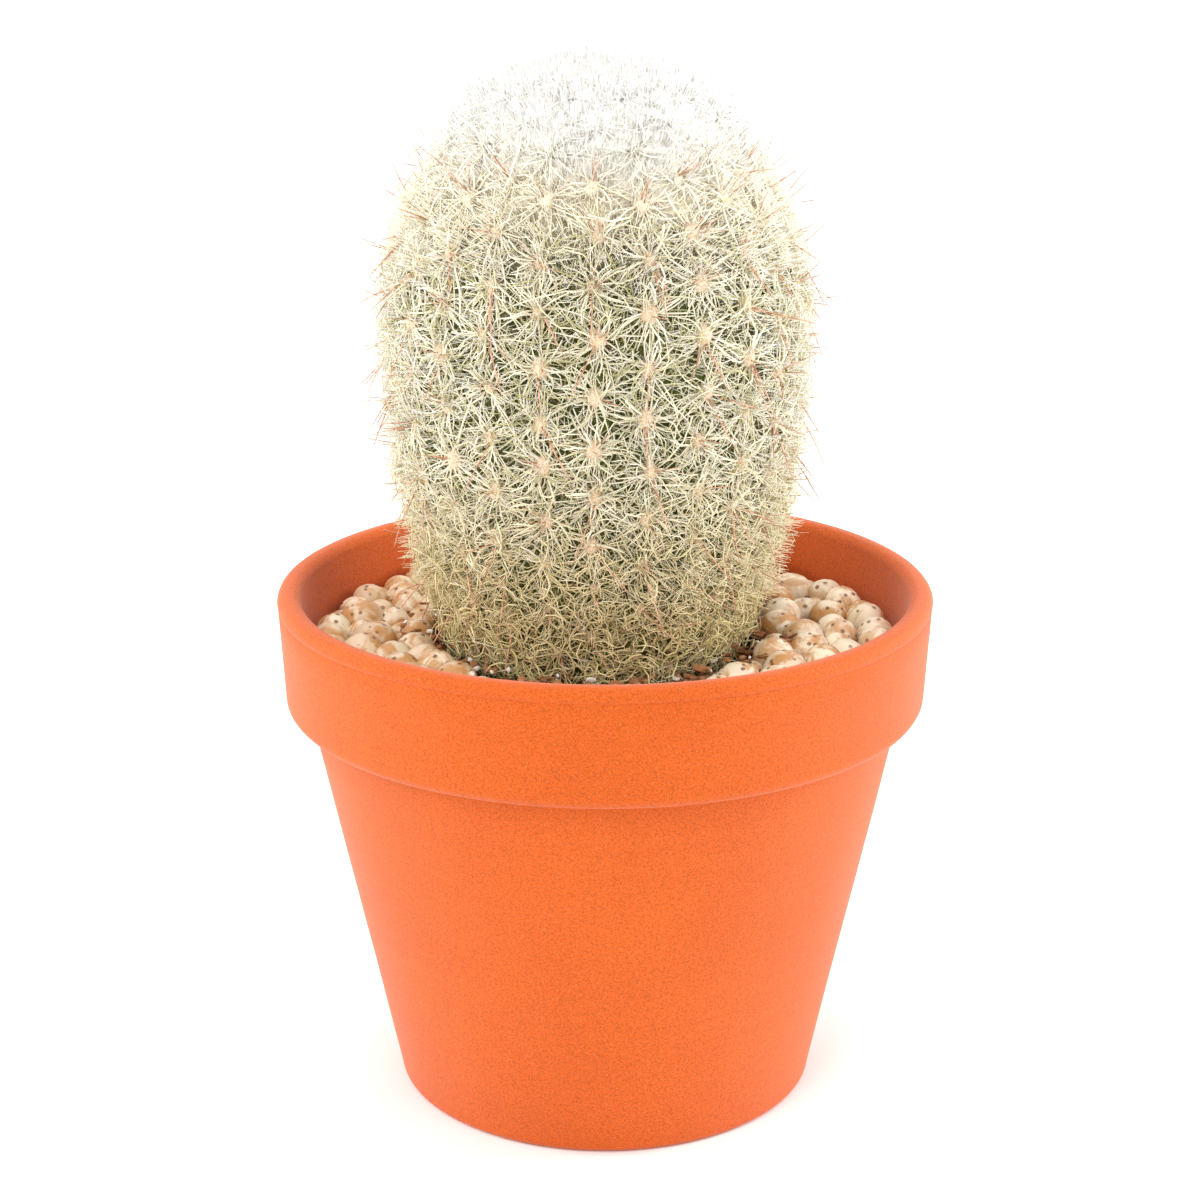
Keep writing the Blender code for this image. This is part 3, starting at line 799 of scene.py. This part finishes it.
class Roots:
    """Where hairs start: points on the stem, each with its ways up, round and out, and its curvature."""

    def __init__(self, curve, walk, angle, sunk):
        r, z, out_r, out_z = curve.at(walk)
        stem_x = chosen("plant").stem_x
        cos, sin, flat = np.cos(angle), np.sin(angle), np.zeros_like(angle)
        self.out = np.stack([out_r * cos, out_r * sin, out_z], axis=1)
        self.round = np.stack([-sin, cos, flat], axis=1)
        self.up = np.stack([-out_z * cos, -out_z * sin, out_r], axis=1)
        self.middle = np.stack([stem_x + r * cos, r * sin, z], axis=1) - self.out * sunk[:, None]
        self.bend_round = out_r / np.maximum(r, TIGHTEST_ROUND)
        ahead = np.arctan2(*curve.at(walk + BEND_NUDGE)[:1:-1])
        behind = np.arctan2(*curve.at(walk - BEND_NUDGE)[:1:-1])
        self.bend_up = np.clip((ahead - behind) / (2 * BEND_NUDGE), 0, 1 / TIGHTEST_UP)
        self.z = z

    def __len__(self):
        return len(self.z)


RISE_WAVE = 0.6
TAPER_POWER = 1.6
ATLAS_EDGE, ATLAS_FILL = 0.1, 0.8


def grow(roots, heading, lift, length, curl=0.0, fall=0.0, steps=4, wave=0.0, draw=None, shy=0.0):
    """Lines from the roots: heading is the way along the skin (0 round, a quarter turn up), lift the
    angle off it. Over its length a line turns by curl along the skin and sinks by fall."""
    count = len(roots)
    share = np.linspace(0, 1, steps + 1)
    middle = (share[1:] + share[:-1]) / 2
    head = heading[:, None] + np.broadcast_to(curl, count)[:, None] * middle
    rise = lift[:, None] - np.broadcast_to(fall, count)[:, None] * middle
    if wave:
        head = head + wave * draw.standard_normal((count, steps))
        rise = rise + RISE_WAVE * wave * draw.standard_normal((count, steps))
    pace = (length / steps)[:, None]
    parts = [
        pace * np.cos(rise) * np.cos(head), pace * np.cos(rise) * np.sin(head), pace * np.sin(rise)
    ]
    across, along, off = [np.concatenate([np.zeros((count, 1)), np.cumsum(p, 1)], 1) for p in parts]
    off = off - 0.5 * (across**2 * roots.bend_round[:, None] + along**2 * roots.bend_up[:, None])
    if shy:
        off = np.maximum(off, shy * share)
    return (
        roots.middle[:, None] + across[..., None] * roots.round[:, None]
        + along[..., None] * roots.up[:, None] + off[..., None] * roots.out[:, None]
    )


def three_sided_section():
    """A small triangle that curves are swept with."""
    data = bpy.data.curves.new("hair_section", "CURVE")
    data.dimensions = "3D"
    spline = data.splines.new("POLY")
    spline.points.add(2)
    for i, point in enumerate(spline.points):
        angle = math.tau * i / 3
        point.co = (math.cos(angle), math.sin(angle), 0, 1)
    spline.use_cyclic_u = True
    section = bpy.data.objects.new("hair_section", data)
    bpy.context.scene.collection.objects.link(section)
    return section


def sweep_hairs(name, lines, thick, taper):
    """A mesh of three-sided tapered hairs, one for each line, with closed ends."""
    count, points = lines.shape[:2]
    share = np.linspace(0, 1, points)
    radii = thick[:, None] * (taper + (1 - taper) * (1 - share**TAPER_POWER)[None])
    data = bpy.data.curves.new(name, "CURVE")
    data.dimensions = "3D"
    section = three_sided_section()
    data.bevel_mode = "OBJECT"
    data.bevel_object = section
    flat = np.concatenate([lines, np.ones((count, points, 1))], axis=2).reshape(count, -1)
    for i in range(count):
        spline = data.splines.new("POLY")
        spline.points.add(points - 1)
        spline.points.foreach_set("co", flat[i])
        spline.points.foreach_set("radius", radii[i])
    swept = bpy.data.objects.new(name, data)
    bpy.context.scene.collection.objects.link(swept)
    graph = bpy.context.evaluated_depsgraph_get()
    mesh = bpy.data.meshes.new_from_object(swept.evaluated_get(graph))
    for thing in (swept, section):
        bpy.data.objects.remove(thing, do_unlink=True)
    if len(mesh.vertices) != count * points * 3:
        raise RuntimeError(f"{name} came out with {len(mesh.vertices)} vertices")
    bm = bmesh.new()
    bm.from_mesh(mesh)
    bm.verts.ensure_lookup_table()
    for first in range(0, len(bm.verts), 3 * points):
        for ring in (first, first + 3 * (points - 1)):
            bm.faces.new(bm.verts[ring : ring + 3])
    bmesh.ops.recalc_face_normals(bm, faces=bm.faces)
    bm.to_mesh(mesh)
    bm.free()
    return mesh


def add_hairs(name, lines, thick, taper, tint, finish):
    """A piece of hairs, with each one's tint and its length from root to tip as attributes, and an
    atlas of them as a UV map."""
    count, points = lines.shape[:2]
    mesh = sweep_hairs(name, lines, thick, taper)
    share = np.linspace(0, 1, points)
    along = np.broadcast_to(share[None, :, None], (count, points, 3)).ravel()
    tints = np.repeat(tint, points * 3)
    for layer, values in (("along", along), ("tint", tints)):
        attribute = mesh.attributes.new(layer, "FLOAT", "POINT")
        attribute.data.foreach_set("value", values.astype(np.float32))
    for layer in list(mesh.uv_layers):
        mesh.uv_layers.remove(layer)
    corners = np.zeros(len(mesh.loops), np.int32)
    mesh.loops.foreach_get("vertex_index", corners)
    sizes = np.zeros(len(mesh.polygons), np.int32)
    mesh.polygons.foreach_get("loop_total", sizes)
    face = np.repeat(np.arange(len(sizes)), sizes)
    side = (corners % 3).astype(float)
    highest = np.zeros(len(sizes))
    np.maximum.at(highest, face, side)
    lowest = np.full(len(sizes), 3.0)
    np.minimum.at(lowest, face, side)
    wraps = (highest[face] == 2) & (lowest[face] == 0) & (sizes[face] == 4)
    side[wraps & (side == 0)] = 3
    columns = math.ceil(math.sqrt(count * 3))
    rows = math.ceil(count / columns)
    hair = corners // (3 * points)
    u = (hair % columns + ATLAS_EDGE + ATLAS_FILL * side / 3) / columns
    v = (hair // columns + ATLAS_EDGE + ATLAS_FILL * along[corners]) / rows
    atlas = mesh.uv_layers.new(name="OFBake")
    atlas.data.foreach_set("uv", np.stack([u, v], axis=1).ravel().astype(np.float32))
    mesh.shade_smooth()
    add_mesh_piece(name, mesh, finish)


class CACTUS_OT_stem(bpy.types.Operator):
    """Build the green ribbed stem with a swelling and a felt cushion at each areole"""

    bl_idname = "cactus.make_stem"
    bl_label = "Ribbed Stem"

    def execute(self, context):
        plant = chosen("plant")
        bed = chosen("bed")
        curve = StemCurve()
        foot = crest_radius(bed.soil_top)
        turns = [math.radians(90 * i / 8) for i in range(8)]
        outline = [(0, bed.soil_top - FOOT_DEPTH)]
        outline += [(foot * math.sin(t), bed.soil_top - FOOT_DEPTH * math.cos(t)) for t in turns[1:]]
        start = curve.walk_at(bed.soil_top)
        rows = int((curve.length - start) / ROW_STEP)
        walks = start + (curve.length - start) * np.arange(rows) / rows
        skin_r, skin_z, out_r, out_z = curve.at(walks)
        outline += list(zip(skin_r, skin_z))
        outline.append((0, plant.stem_top))
        bm = turned(outline, closed=False, steps=plant.ribs * STEPS_PER_RIB, x=plant.stem_x)
        spot_walk = curve.walk_at(FIRST_AREOLE)
        for vert in bm.verts:
            x, y, z = vert.co.x - plant.stem_x, vert.co.y, vert.co.z
            radius = math.hypot(x, y)
            if z < bed.soil_top - NEAR or radius < TIP_RADIUS:
                continue
            walk = float(curve.walk_at(z))
            angle = math.atan2(y, x)
            way_r, way_z = float(np.interp(walk, walks, out_r)), float(np.interp(walk, walks, out_z))
            depth = plant.rib_depth * min(1, FLATTER_RIBS * radius / plant.stem_radius)
            rib = round(angle / math.tau * plant.ribs)
            phase = (walk - spot_walk) / plant.areole_step + 0.5 * (rib % 2)
            low = float(valley(angle))
            notch = NOTCH_DEPTH * (0.5 - 0.5 * math.cos(math.tau * phase)) * (1 - low)
            shift = -depth * low - notch + relief(vert.co, SKIN_SWELL)
            shift *= BURIED_SHARE if z < bed.soil_top + NEAR else 1
            vert.co.x += x / radius * way_r * shift
            vert.co.y += y / radius * way_r * shift
            vert.co.z += way_z * shift
        add_piece("green_stem", bm, skin_finish(), replaced=("cactus",), crease=180)
        spots = areole_spots(curve)
        roots = Roots(curve, spots[:, 0], spots[:, 1], np.full(len(spots), CUSHION_SUNK))
        draw = random.Random(6)
        felt = bmesh.new()
        for i in range(len(roots)):
            turn = Matrix((roots.round[i], roots.up[i], roots.out[i])).transposed().to_4x4()
            share = min(1, max(0, (roots.z[i] - 0.080) / 0.035))
            size = (CUSHION_SIZE + CUSHION_GROWTH * share) * draw.uniform(0.8, 1.2)
            shape = Matrix.Diagonal((*(size * side for side in CUSHION_SHAPE), 1))
            spot = Matrix.Translation(Vector(roots.middle[i])) @ turn @ shape
            made = bmesh.ops.create_icosphere(felt, subdivisions=2, radius=1, matrix=spot)
            for vert in made["verts"]:
                vert.co += 0.00012 * noise.noise_vector(vert.co * 1800)
        add_piece("areole_cushions", felt, felt_finish(), crease=180)
        return {"FINISHED"}


CAP_START = 0.1500
CAP_FULL = 0.1720
CAP_RISE = 0.0036
CAP_ROWS, CAP_STEPS = 30, 120
CAP_TUFTS = ((260, 0.0005), (700, 0.0003))
ROOT_SUNK = 0.0001
ALONG_STRAY, ROUND_STRAY = 0.0005, 0.0004


def cap_rise(walk, curve):
    """How far the crown's matted wool stands off the skin; negative where there is none."""
    share = (walk - curve.walk_at(CAP_START)) / (curve.walk_at(CAP_FULL) - curve.walk_at(CAP_START))
    share = np.clip(share, 0, 1)
    return CAP_RISE * (4 * share - 1) * (share < 0.5) + CAP_RISE * (share >= 0.5)


def per_areole(curve, each, draw):
    """Roots for a number of spines at every areole, a little apart on its cushion."""
    spots = np.repeat(areole_spots(curve), each, axis=0)
    spots[:, 0] += draw.uniform(-ALONG_STRAY, ALONG_STRAY, len(spots))
    radius = np.maximum(curve.at(spots[:, 0])[0], 10 * ROUND_STRAY)
    spots[:, 1] += draw.uniform(-ROUND_STRAY, ROUND_STRAY, len(spots)) / radius
    sunk = ROOT_SUNK - np.maximum(0, cap_rise(spots[:, 0], curve))
    return Roots(curve, spots[:, 0], spots[:, 1], sunk)


RADIALS_EACH = 46
FLAT_LIFTS, MIDDLE_LIFTS, STEEP_LIFTS = (10, 24), (22, 38), (40, 62)
RADIAL_FALLS = (16, 46)
LONG_RADIALS, LONG_SHARE = 0.04, 1.8
RADIAL_CURL, LOW_CURL = 1.25, 1.6
RADIAL_THICK = (0.00010, 0.00022)
RADIAL_TAPER = 0.6
LOW_SPINES_TOP, LOW_SPINES_FADE = 0.112, 0.020
CROWN_SPINES_START, CROWN_SPINES_FADE = 0.160, 0.012
LOW_THINNED, LOW_FINER = 0.68, 0.35
RADIAL_SPLIT = 0.114
SPINE_SHY = 0.0004

CENTRALS_EACH = 3
CENTRALS_FEW, CENTRALS_GROWTH = 0.25, 0.65
CENTRALS_LOW, CENTRALS_RANGE = 0.085, 0.065
LYING_TOP, LYING_SHARE, LYING_LENGTH, LYING_THICK = 0.150, 0.45, 1.45, 1.5
LYING_LIFTS, STANDING_LIFTS = (24, 44), (45, 84)
LYING_WAY, STANDING_WAY = (-1.5, 0.6), (1.2, 1.1)
CENTRAL_FALLS = (-6, 10)
CENTRAL_THICK = (0.00011, 0.00014)
CENTRAL_TAPER = 0.35
CENTRALS_TOP, SHORTER_FROM = 0.1605, 0.152


class CACTUS_OT_spines(bpy.types.Operator):
    """Build the pale radial spines and the red-brown central spines of every areole"""

    bl_idname = "cactus.make_spines"
    bl_label = "Spines"

    def execute(self, context):
        plant = chosen("plant")
        curve = StemCurve()
        draw = np.random.default_rng(11)
        roots = per_areole(curve, RADIALS_EACH, draw)
        count = len(roots)
        place = np.tile(np.arange(RADIALS_EACH), count // RADIALS_EACH)
        heading = math.tau * place * GOLDEN_SHARE + draw.uniform(-0.25, 0.25, count)
        layer = place % 10
        lifts = [draw.uniform(*range_, count) for range_ in (FLAT_LIFTS, MIDDLE_LIFTS, STEEP_LIFTS)]
        lift = np.radians(np.select([layer < 6, layer < 9], lifts[:2], lifts[2]))
        length = plant.spine_length * draw.uniform(0.66, 1.22, count) * np.where(layer < 6, 1.08, 0.9)
        length *= np.where(draw.random(count) < LONG_RADIALS, LONG_SHARE, 1)
        low = np.clip((LOW_SPINES_TOP - roots.z) / LOW_SPINES_FADE, 0, 1)
        curl = draw.normal(0, RADIAL_CURL, count) + low * draw.normal(0, LOW_CURL, count)
        fall = np.radians(draw.uniform(*RADIAL_FALLS, count))
        lines = grow(roots, heading, lift, length, curl, fall, steps=3, wave=0.09, draw=draw, shy=SPINE_SHY)
        thick = draw.uniform(*RADIAL_THICK, count) * (1 - LOW_FINER * low)
        tint = draw.uniform(0, 1, count) ** 1.5
        high = np.clip((roots.z - CROWN_SPINES_START) / CROWN_SPINES_FADE, 0, 1)
        kept = place < RADIALS_EACH * (1 - LOW_THINNED * low - high)
        below = roots.z < RADIAL_SPLIT
        for name, part in (("radial_spines_low", below), ("radial_spines_high", ~below)):
            part = part & kept
            add_hairs(name, lines[part], thick[part], RADIAL_TAPER, tint[part], spine_finish())
        self.grow_centrals(plant, curve, draw)
        return {"FINISHED"}

    def grow_centrals(self, plant, curve, draw):
        """Up to three long spines at each areole: some hang down close to the stem, and the others
        stand out from it and lean up."""
        roots = per_areole(curve, CENTRALS_EACH, draw)
        count = len(roots)
        share = np.clip((roots.z - CENTRALS_LOW) / CENTRALS_RANGE, 0, 1)
        lying = (roots.z < LYING_TOP) & (draw.random(count) < LYING_SHARE)
        heading = np.where(lying, draw.normal(*LYING_WAY, count), draw.normal(*STANDING_WAY, count))
        lift = np.radians(
            np.where(lying, draw.uniform(*LYING_LIFTS, count), draw.uniform(*STANDING_LIFTS, count))
        )
        length = plant.central_length * draw.uniform(0.70, 1.1, count) * np.where(lying, LYING_LENGTH, 0.95)
        length *= 1 - 0.15 * np.clip((roots.z - SHORTER_FROM) / 0.01, 0, 1)
        fall = np.radians(draw.uniform(*CENTRAL_FALLS, count))
        lines = grow(roots, heading, lift, length, draw.normal(0, 0.1, count), fall, wave=0.03, draw=draw)
        kept = (roots.z < CENTRALS_TOP) & (draw.random(count) < CENTRALS_FEW + CENTRALS_GROWTH * share)
        thick = draw.uniform(*CENTRAL_THICK, count) * np.where(lying, LYING_THICK, 1)
        tint = draw.uniform(0, 1, int(kept.sum()))
        add_hairs("central_spines", lines[kept], thick[kept], CENTRAL_TAPER, tint, central_finish())


WOOL_SUNK = 0.0003
WOOL_START = 0.0010
KNEE, MIDDLE, SHOULDER = 0.094, 0.114, 0.152
CURLY_HAIRS = (
    ("curly_wool_low", 3000, (3, 7), 0.0090, 6),
    ("curly_wool_mid", 3000, (2, 6), 0.0085, 5),
    ("curly_wool_high", 5000, (0.6, 3), 0.0080, 3),
)
CURLY_THICK, CURLY_TAPER = (0.00013, 0.00018), 0.35
STRAY_SHARE, STRAY_LIFT = 0.08, 85
WOOL_SHY = 0.0006
HAZE_HAIRS, HAZE_START = 9500, 0.012
HAZE_LENGTH, HAZE_THICK = (0.0046, 0.0062), (0.00005, 0.00007)
FUZZ_HAIRS, FUZZ_OVERLAP, FUZZ_GAP = 17000, 0.0090, 0.0004
FUZZ_LENGTH, FUZZ_THICK = (0.0028, 0.0040), (0.00006, 0.00009)
STANDING_TAPER, STANDING_DEPTH = 0.6, 0.6
FUZZ_WHITE, FUZZ_CREAM = (0.905, 0.89, 0.86), (0.94, 0.87, 0.72)
FELT_WHITE, FELT_CREAM = (0.92, 0.905, 0.875), (0.90, 0.83, 0.68)


def strewn(curve, count, low, high, draw, depth=1.0):
    """Roots strewn evenly over the skin between two distances up the curve."""
    plant = chosen("plant")
    walk = draw.uniform(low, high, 4 * count)
    keep = draw.uniform(0, 1, 4 * count) * plant.stem_radius < curve.at(walk)[0]
    walk = walk[keep][:count]
    angle = draw.uniform(0, math.tau, count)
    radius = curve.at(walk)[0]
    sunk = plant.rib_depth * np.minimum(1, FLATTER_RIBS * radius / plant.stem_radius) * valley(angle)
    rise = cap_rise(walk, curve)
    return Roots(curve, walk, angle, np.where(rise > 0, -rise, sunk * depth) + WOOL_SUNK)


class CACTUS_OT_wool(bpy.types.Operator):
    """Build the fine wool: curly hair low down, straighter hair above it, and the crown's white fuzz"""

    bl_idname = "cactus.make_wool"
    bl_label = "Wool"

    def execute(self, context):
        curve = StemCurve()
        draw = np.random.default_rng(23)
        soil = curve.walk_at(chosen("bed").soil_top + WOOL_START)
        borders = [soil, *(curve.walk_at(z) for z in (KNEE, MIDDLE, SHOULDER))]
        for (name, count, turns, length, steps), low, high in zip(CURLY_HAIRS, borders, borders[1:]):
            self.curly(name, strewn(curve, count, low, high, draw), draw, turns, length, steps)
        shoulder = borders[-1]
        hazy = strewn(curve, HAZE_HAIRS, soil + HAZE_START, shoulder, draw, STANDING_DEPTH)
        self.standing("side_haze", hazy, draw, HAZE_LENGTH, HAZE_THICK, haze_finish())
        self.felt_cap(chosen("plant"), curve)
        low, high = shoulder - FUZZ_OVERLAP, curve.length - FUZZ_GAP
        fuzzy = strewn(curve, FUZZ_HAIRS, low, high, draw, STANDING_DEPTH)
        white = crown_finish("white_crown_wool", FUZZ_WHITE, FUZZ_CREAM, 0.3)
        self.standing("crown_wool", fuzzy, draw, FUZZ_LENGTH, FUZZ_THICK, white)
        return {"FINISHED"}

    def felt_cap(self, plant, curve):
        """The matted white wool that hides the skin of the crown."""
        low = curve.walk_at(CAP_START)
        walks = low + (curve.length - low) * np.arange(CAP_ROWS) / CAP_ROWS
        r, z, out_r, out_z = curve.at(walks)
        rise = cap_rise(walks, curve)
        outline = list(zip(r + out_r * rise, z + out_z * rise))
        outline.append((0, plant.stem_top + CAP_RISE))
        bm = turned(outline, closed=False, steps=CAP_STEPS, x=plant.stem_x)
        for vert in bm.verts:
            vert.co.z += relief(vert.co, CAP_TUFTS)
        felt = crown_finish("white_crown_felt", FELT_WHITE, FELT_CREAM, 0.0)
        add_piece("crown_felt", bm, felt, crease=180)

    def curly(self, name, roots, draw, turns, length, steps):
        """Hair that curls along the skin, to either side, by an angle between the two turns."""
        count = len(roots)
        stray = draw.random(count) < STRAY_SHARE
        lift = np.radians(np.where(stray, STRAY_LIFT, draw.uniform(25, 70, count)))
        lines = grow(
            roots, draw.uniform(0, math.tau, count), lift, length * draw.uniform(0.7, 1.2, count),
            curl=draw.uniform(*turns, count) * draw.choice((-1, 1), count),
            fall=lift * draw.uniform(1.2, 1.9, count),
            steps=steps, wave=0.10, draw=draw, shy=WOOL_SHY,
        )
        thick = draw.uniform(*CURLY_THICK, count)
        # Each hair's tint sets how much olive painted shade it takes.
        add_hairs(name, lines, thick, CURLY_TAPER, draw.uniform(0, 1, count), wool_finish())

    def standing(self, name, roots, draw, length, thick, finish):
        """Fine straight fuzz that stands out from the skin."""
        count = len(roots)
        lift = np.radians(draw.uniform(64, 90, count))
        heading = draw.normal(math.pi / 2, 1.1, count)
        lines = grow(roots, heading, lift, draw.uniform(*length, count), steps=1)
        thick = draw.uniform(*thick, count)
        add_hairs(name, lines, thick, STANDING_TAPER, draw.uniform(0, 1, count), finish)


FLOOR_TONES = (0.93, 0.93, 0.925), (0.95, 0.95, 0.945)
PLANT_MIDDLE, PLANT_TOP = (0, 0, 0.09), (0, 0, 0.15)
WHITE, WARM, COOL = (1, 1, 1), (1.0, 0.985, 0.96), (0.94, 0.97, 1.0)
SOFT_LIGHTS = (
    ("key", (-0.50, -0.97, 1.05), PLANT_MIDDLE, 0.6, 7.0, WARM),
    ("fill", (0.85, -0.85, 0.75), PLANT_MIDDLE, 0.9, 2.5, WHITE),
    ("left_strip", (-1.05, 0.15, 0.35), PLANT_MIDDLE, 0.5, 6.0, WHITE),
    ("right_strip", (1.05, 0.20, 0.35), PLANT_MIDDLE, 0.5, 9.0, COOL),
    ("top", (0.0, 0.25, 1.30), PLANT_TOP, 0.7, 4.5, WHITE),
)
IMAGE_SIZE = 1200
AXIS_PIXEL = 605
SENSOR_WIDTH = 36


def pale_floor():
    floor = Finish("pale_floor", 0.9, 0.1)
    return floor.coloured(floor.blend(*FLOOR_TONES, floor.noise(3, 2), 0.3, 0.7))


def soft_light(name, place, target, size, power, colour):
    """A square soft box that faces a point."""
    data = bpy.data.lights.new(name, "AREA")
    data.shape = "SQUARE"
    data.size = size
    data.energy = power
    data.color = colour
    light = bpy.data.objects.new(name, data)
    light.location = place
    light.rotation_euler = (Vector(target) - Vector(place)).to_track_quat("-Z", "Y").to_euler()
    bpy.context.scene.collection.objects.link(light)


class CACTUS_OT_stage(bpy.types.Operator):
    """Lay the pale floor, set the soft lights and place the camera"""

    bl_idname = "cactus.make_stage"
    bl_label = "Stage"

    def execute(self, context):
        scene = context.scene
        stage = scene.cactus_stage
        bm = bmesh.new()
        bmesh.ops.create_grid(bm, x_segments=4, y_segments=4, size=stage.floor_size / 2)
        mesh = bpy.data.meshes.new("floor")
        bm.to_mesh(mesh)
        bm.free()
        mesh.materials.append(pale_floor())
        floor = bpy.data.objects.new("floor", mesh)
        scene.collection.objects.link(floor)
        world = bpy.data.worlds.new("even_light")
        world.use_nodes = True
        background = world.node_tree.nodes["Background"]
        background.inputs["Color"].default_value = (1, 1, 1, 1)
        background.inputs["Strength"].default_value = stage.sky
        scene.world = world
        for light in SOFT_LIGHTS:
            soft_light(*light)
        scene.view_settings.view_transform = "Standard"
        self.place_camera(scene, stage)
        return {"FINISHED"}

    def place_camera(self, scene, stage):
        data = bpy.data.cameras.new("photo_camera")
        data.lens = stage.lens
        data.sensor_width = SENSOR_WIDTH
        data.sensor_fit = "HORIZONTAL"
        data.shift_x = (IMAGE_SIZE / 2 - AXIS_PIXEL) / IMAGE_SIZE
        data.clip_start = 0.01
        data.clip_end = 50
        camera = bpy.data.objects.new("photo_camera", data)
        aim = Vector((0, 0, stage.aim_height))
        tilt = stage.camera_elevation
        back = Vector((0, -math.cos(tilt), math.sin(tilt))) * stage.camera_distance
        camera.location = aim + back
        camera.rotation_euler = (-back).to_track_quat("-Z", "Y").to_euler()
        scene.collection.objects.link(camera)
        scene.camera = camera


BUILD_ORDER = (CACTUS_OT_stage, CACTUS_OT_pot, CACTUS_OT_soil, CACTUS_OT_beads, CACTUS_OT_stem,
               CACTUS_OT_spines, CACTUS_OT_wool)


class CACTUS_PT_panel(bpy.types.Panel):
    """Buttons that build the plant and its pot"""

    bl_idname = "CACTUS_PT_panel"
    bl_label = "Potted Woolly Cactus"
    bl_space_type = "VIEW_3D"
    bl_region_type = "UI"
    bl_category = "Cactus"

    def draw(self, context):
        for operator in BUILD_ORDER:
            self.layout.operator(operator.bl_idname)


SETTINGS = {
    "cactus_pot": PotSettings,
    "cactus_bed": BedSettings,
    "cactus_plant": PlantSettings,
    "cactus_stage": StageSettings,
}


def register():
    for group in (*SETTINGS.values(), *BUILD_ORDER, CACTUS_PT_panel):
        bpy.utils.register_class(group)
    for name, group in SETTINGS.items():
        setattr(bpy.types.Scene, name, PointerProperty(type=group))


def unregister():
    for name in SETTINGS:
        delattr(bpy.types.Scene, name)
    for group in reversed((*SETTINGS.values(), *BUILD_ORDER, CACTUS_PT_panel)):
        bpy.utils.unregister_class(group)


def main():
    register()
    for operator in BUILD_ORDER:
        getattr(bpy.ops.cactus, operator.bl_idname.split(".")[1])()


if __name__ == "__main__":
    main()
